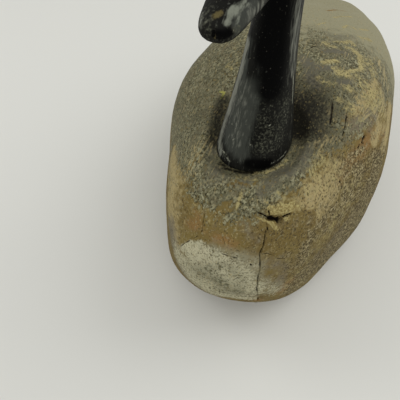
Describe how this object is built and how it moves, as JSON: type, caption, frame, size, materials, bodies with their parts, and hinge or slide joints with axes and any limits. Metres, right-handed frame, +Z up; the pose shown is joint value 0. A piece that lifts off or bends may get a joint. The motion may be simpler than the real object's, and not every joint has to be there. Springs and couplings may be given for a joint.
{
  "type": "goose decoy",
  "caption": "Hand-carved wooden hunting decoy of a standing-necked goose, with a flat-bottomed body and a separate upright neck, head and bill set into its shoulders.",
  "frame": {"origin": "on the ground, below the middle of the whole decoy's box", "axes": "+Z up, -Y the way the goose faces, +Y towards its tail, +X towards its left flank"},
  "size_m": [0.2458, 0.5924, 0.3625],
  "materials": {
    "worn_body_paint": "flat olive-grey and tan paint on wood, worn through in places, with a whitish breast",
    "black_neck_paint": "satin black paint on wood, worn to bare grey wood on the bill"
  },
  "bodies": {
    "root": {"body": "worn_body_paint", "neck_and_head": "black_neck_paint"}
  },
  "joints": []
}
